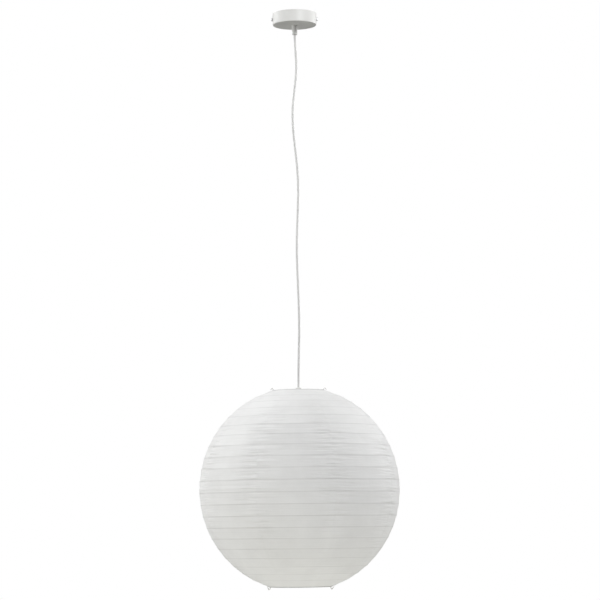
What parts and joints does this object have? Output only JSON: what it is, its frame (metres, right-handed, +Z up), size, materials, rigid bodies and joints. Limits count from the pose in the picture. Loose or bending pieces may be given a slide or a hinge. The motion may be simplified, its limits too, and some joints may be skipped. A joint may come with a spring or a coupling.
{
  "type": "accordion paper lantern",
  "caption": "Round white accordion paper pendant lantern on closed wire hoops, with a cord, screw lampholder, wire spreader and round ceiling rose.",
  "frame": {"origin": "middle of the ceiling rose's mounting face, where it meets the ceiling", "axes": "+Z up along the cord, +X from left to right along the wire spreader, +Y away from the front"},
  "size_m": [0.4498, 0.4498, 1.3082],
  "materials": {
    "white_enamel": "satin white powder coat",
    "zinc_steel": "bright zinc plate",
    "brass": "plain brass",
    "white_plastic": "moulded white",
    "clear_plastic": "natural moulded terminal strip",
    "cord_sheath": "soft white sheath",
    "live_sleeve": "brown insulation",
    "neutral_sleeve": "blue insulation",
    "earth_sleeve": "green and yellow insulation",
    "glazed_insert": "glazed steatite",
    "wire_white": "white coated spring wire",
    "hoop_wire": "white lacquered wire",
    "rice_paper": "translucent white mulberry paper"
  },
  "bodies": {
    "ceiling_rose": {"ceiling_bracket": "zinc_steel", "rose_cup": "white_enamel", "side_screws": "zinc_steel", "cord_grip": "white_plastic", "grip_screw": "white_plastic", "lock_washer": "zinc_steel", "grip_nut": "zinc_steel", "terminal_block": "clear_plastic", "terminal_tubes": "brass", "terminal_screws": "zinc_steel", "block_screw": "zinc_steel", "live_wire": "live_sleeve", "neutral_wire": "neutral_sleeve", "earth_wire": "earth_sleeve", "earth_lug": "brass", "earth_screw": "zinc_steel", "cord_in_rose": "cord_sheath"},
    "cord": {"pendant_cord": "cord_sheath"},
    "lampholder": {"cord_in_holder": "cord_sheath", "holder_cap": "white_plastic", "holder_body": "white_plastic", "socket_insert": "glazed_insert", "lamp_screw_shell": "brass", "centre_contact": "brass", "holder_terminals": "brass", "holder_live_wire": "live_sleeve", "holder_neutral_wire": "neutral_sleeve"},
    "nut": {"retaining_nut": "white_plastic"},
    "shade": {"spreader_hanger": "wire_white", "top_rim_ring": "wire_white", "paper_shade": "rice_paper"},
    "leg_left": {"spreader_leg_left": "wire_white"},
    "leg_right": {"spreader_leg_right": "wire_white"},
    "bottom_rim": {"bottom_rim_ring": "wire_white"},
    "hoop_01": {"hoop_01": "hoop_wire"},
    "hoop_02": {"hoop_02": "hoop_wire"},
    "hoop_03": {"hoop_03": "hoop_wire"},
    "hoop_04": {"hoop_04": "hoop_wire"},
    "hoop_05": {"hoop_05": "hoop_wire"},
    "hoop_06": {"hoop_06": "hoop_wire"},
    "hoop_07": {"hoop_07": "hoop_wire"},
    "hoop_08": {"hoop_08": "hoop_wire"},
    "hoop_09": {"hoop_09": "hoop_wire"},
    "hoop_10": {"hoop_10": "hoop_wire"},
    "hoop_11": {"hoop_11": "hoop_wire"},
    "hoop_12": {"hoop_12": "hoop_wire"},
    "hoop_13": {"hoop_13": "hoop_wire"},
    "hoop_14": {"hoop_14": "hoop_wire"},
    "hoop_15": {"hoop_15": "hoop_wire"},
    "hoop_16": {"hoop_16": "hoop_wire"},
    "hoop_17": {"hoop_17": "hoop_wire"},
    "hoop_18": {"hoop_18": "hoop_wire"},
    "hoop_19": {"hoop_19": "hoop_wire"},
    "hoop_20": {"hoop_20": "hoop_wire"}
  },
  "joints": [
    {"name": "cord_swing", "type": "hinge", "parent": "ceiling_rose", "child": "cord", "pos_m": [0, 0, -0.05], "axis": [0, 1, 0], "range_deg": [-20, 20]},
    {"name": "holder_tilt", "type": "hinge", "parent": "cord", "child": "lampholder", "pos_m": [0, 0, -0.85549], "axis": [1, 0, 0], "range_deg": [-15, 15]},
    {"name": "nut_unscrew", "type": "slide", "parent": "lampholder", "child": "nut", "axis": [0, 0, -1], "range_m": [0, 0.035]},
    {"name": "shade_turn", "type": "hinge", "parent": "nut", "child": "shade", "pos_m": [0, 0, -0.92349], "axis": [0, 0, 1], "continuous": true},
    {"name": "shade_collapse", "type": "slide", "parent": "shade", "child": "bottom_rim", "axis": [0, 0, 1], "range_m": [0, 0.4], "deforming": ["paper_shade"]},
    {"name": "leg_left_squeeze", "type": "hinge", "parent": "shade", "child": "leg_left", "pos_m": [-0.0549, 0, -0.87549], "axis": [0, -1, 0], "range_deg": [0, 3], "stiffness_Nm_per_rad": 2},
    {"name": "leg_right_squeeze", "type": "hinge", "parent": "shade", "child": "leg_right", "pos_m": [0.0549, 0, -0.87549], "axis": [0, 1, 0], "range_deg": [0, 3], "stiffness_Nm_per_rad": 2},
    {"name": "hoop_01_rise", "type": "slide", "parent": "shade", "child": "hoop_01", "axis": [0, 0, 1], "range_m": [0, 0.01361]},
    {"name": "hoop_02_rise", "type": "slide", "parent": "shade", "child": "hoop_02", "axis": [0, 0, 1], "range_m": [0, 0.02533]},
    {"name": "hoop_03_rise", "type": "slide", "parent": "shade", "child": "hoop_03", "axis": [0, 0, 1], "range_m": [0, 0.03942]},
    {"name": "hoop_04_rise", "type": "slide", "parent": "shade", "child": "hoop_04", "axis": [0, 0, 1], "range_m": [0, 0.0557]},
    {"name": "hoop_05_rise", "type": "slide", "parent": "shade", "child": "hoop_05", "axis": [0, 0, 1], "range_m": [0, 0.07394]},
    {"name": "hoop_06_rise", "type": "slide", "parent": "shade", "child": "hoop_06", "axis": [0, 0, 1], "range_m": [0, 0.09391]},
    {"name": "hoop_07_rise", "type": "slide", "parent": "shade", "child": "hoop_07", "axis": [0, 0, 1], "range_m": [0, 0.11533]},
    {"name": "hoop_08_rise", "type": "slide", "parent": "shade", "child": "hoop_08", "axis": [0, 0, 1], "range_m": [0, 0.13793]},
    {"name": "hoop_09_rise", "type": "slide", "parent": "shade", "child": "hoop_09", "axis": [0, 0, 1], "range_m": [0, 0.1614]},
    {"name": "hoop_10_rise", "type": "slide", "parent": "shade", "child": "hoop_10", "axis": [0, 0, 1], "range_m": [0, 0.18542]},
    {"name": "hoop_11_rise", "type": "slide", "parent": "shade", "child": "hoop_11", "axis": [0, 0, 1], "range_m": [0, 0.20961]},
    {"name": "hoop_12_rise", "type": "slide", "parent": "shade", "child": "hoop_12", "axis": [0, 0, 1], "range_m": [0, 0.23357]},
    {"name": "hoop_13_rise", "type": "slide", "parent": "shade", "child": "hoop_13", "axis": [0, 0, 1], "range_m": [0, 0.25711]},
    {"name": "hoop_14_rise", "type": "slide", "parent": "shade", "child": "hoop_14", "axis": [0, 0, 1], "range_m": [0, 0.27993]},
    {"name": "hoop_15_rise", "type": "slide", "parent": "shade", "child": "hoop_15", "axis": [0, 0, 1], "range_m": [0, 0.30172]},
    {"name": "hoop_16_rise", "type": "slide", "parent": "shade", "child": "hoop_16", "axis": [0, 0, 1], "range_m": [0, 0.32219]},
    {"name": "hoop_17_rise", "type": "slide", "parent": "shade", "child": "hoop_17", "axis": [0, 0, 1], "range_m": [0, 0.34107]},
    {"name": "hoop_18_rise", "type": "slide", "parent": "shade", "child": "hoop_18", "axis": [0, 0, 1], "range_m": [0, 0.35809]},
    {"name": "hoop_19_rise", "type": "slide", "parent": "shade", "child": "hoop_19", "axis": [0, 0, 1], "range_m": [0, 0.37305]},
    {"name": "hoop_20_rise", "type": "slide", "parent": "shade", "child": "hoop_20", "axis": [0, 0, 1], "range_m": [0, 0.38573]}
  ],
  "couplings": [
    {"joint": "hoop_01_rise", "follows": "shade_collapse", "ratio": 0.032781},
    {"joint": "hoop_02_rise", "follows": "shade_collapse", "ratio": 0.062072},
    {"joint": "hoop_03_rise", "follows": "shade_collapse", "ratio": 0.097298},
    {"joint": "hoop_04_rise", "follows": "shade_collapse", "ratio": 0.13799},
    {"joint": "hoop_05_rise", "follows": "shade_collapse", "ratio": 0.1836},
    {"joint": "hoop_06_rise", "follows": "shade_collapse", "ratio": 0.23352},
    {"joint": "hoop_07_rise", "follows": "shade_collapse", "ratio": 0.28709},
    {"joint": "hoop_08_rise", "follows": "shade_collapse", "ratio": 0.34358},
    {"joint": "hoop_09_rise", "follows": "shade_collapse", "ratio": 0.40224},
    {"joint": "hoop_10_rise", "follows": "shade_collapse", "ratio": 0.4623},
    {"joint": "hoop_11_rise", "follows": "shade_collapse", "ratio": 0.52279},
    {"joint": "hoop_12_rise", "follows": "shade_collapse", "ratio": 0.58267},
    {"joint": "hoop_13_rise", "follows": "shade_collapse", "ratio": 0.64153},
    {"joint": "hoop_14_rise", "follows": "shade_collapse", "ratio": 0.69858},
    {"joint": "hoop_15_rise", "follows": "shade_collapse", "ratio": 0.75306},
    {"joint": "hoop_16_rise", "follows": "shade_collapse", "ratio": 0.80423},
    {"joint": "hoop_17_rise", "follows": "shade_collapse", "ratio": 0.85142},
    {"joint": "hoop_18_rise", "follows": "shade_collapse", "ratio": 0.89399},
    {"joint": "hoop_19_rise", "follows": "shade_collapse", "ratio": 0.93137},
    {"joint": "hoop_20_rise", "follows": "shade_collapse", "ratio": 0.96307}
  ]
}
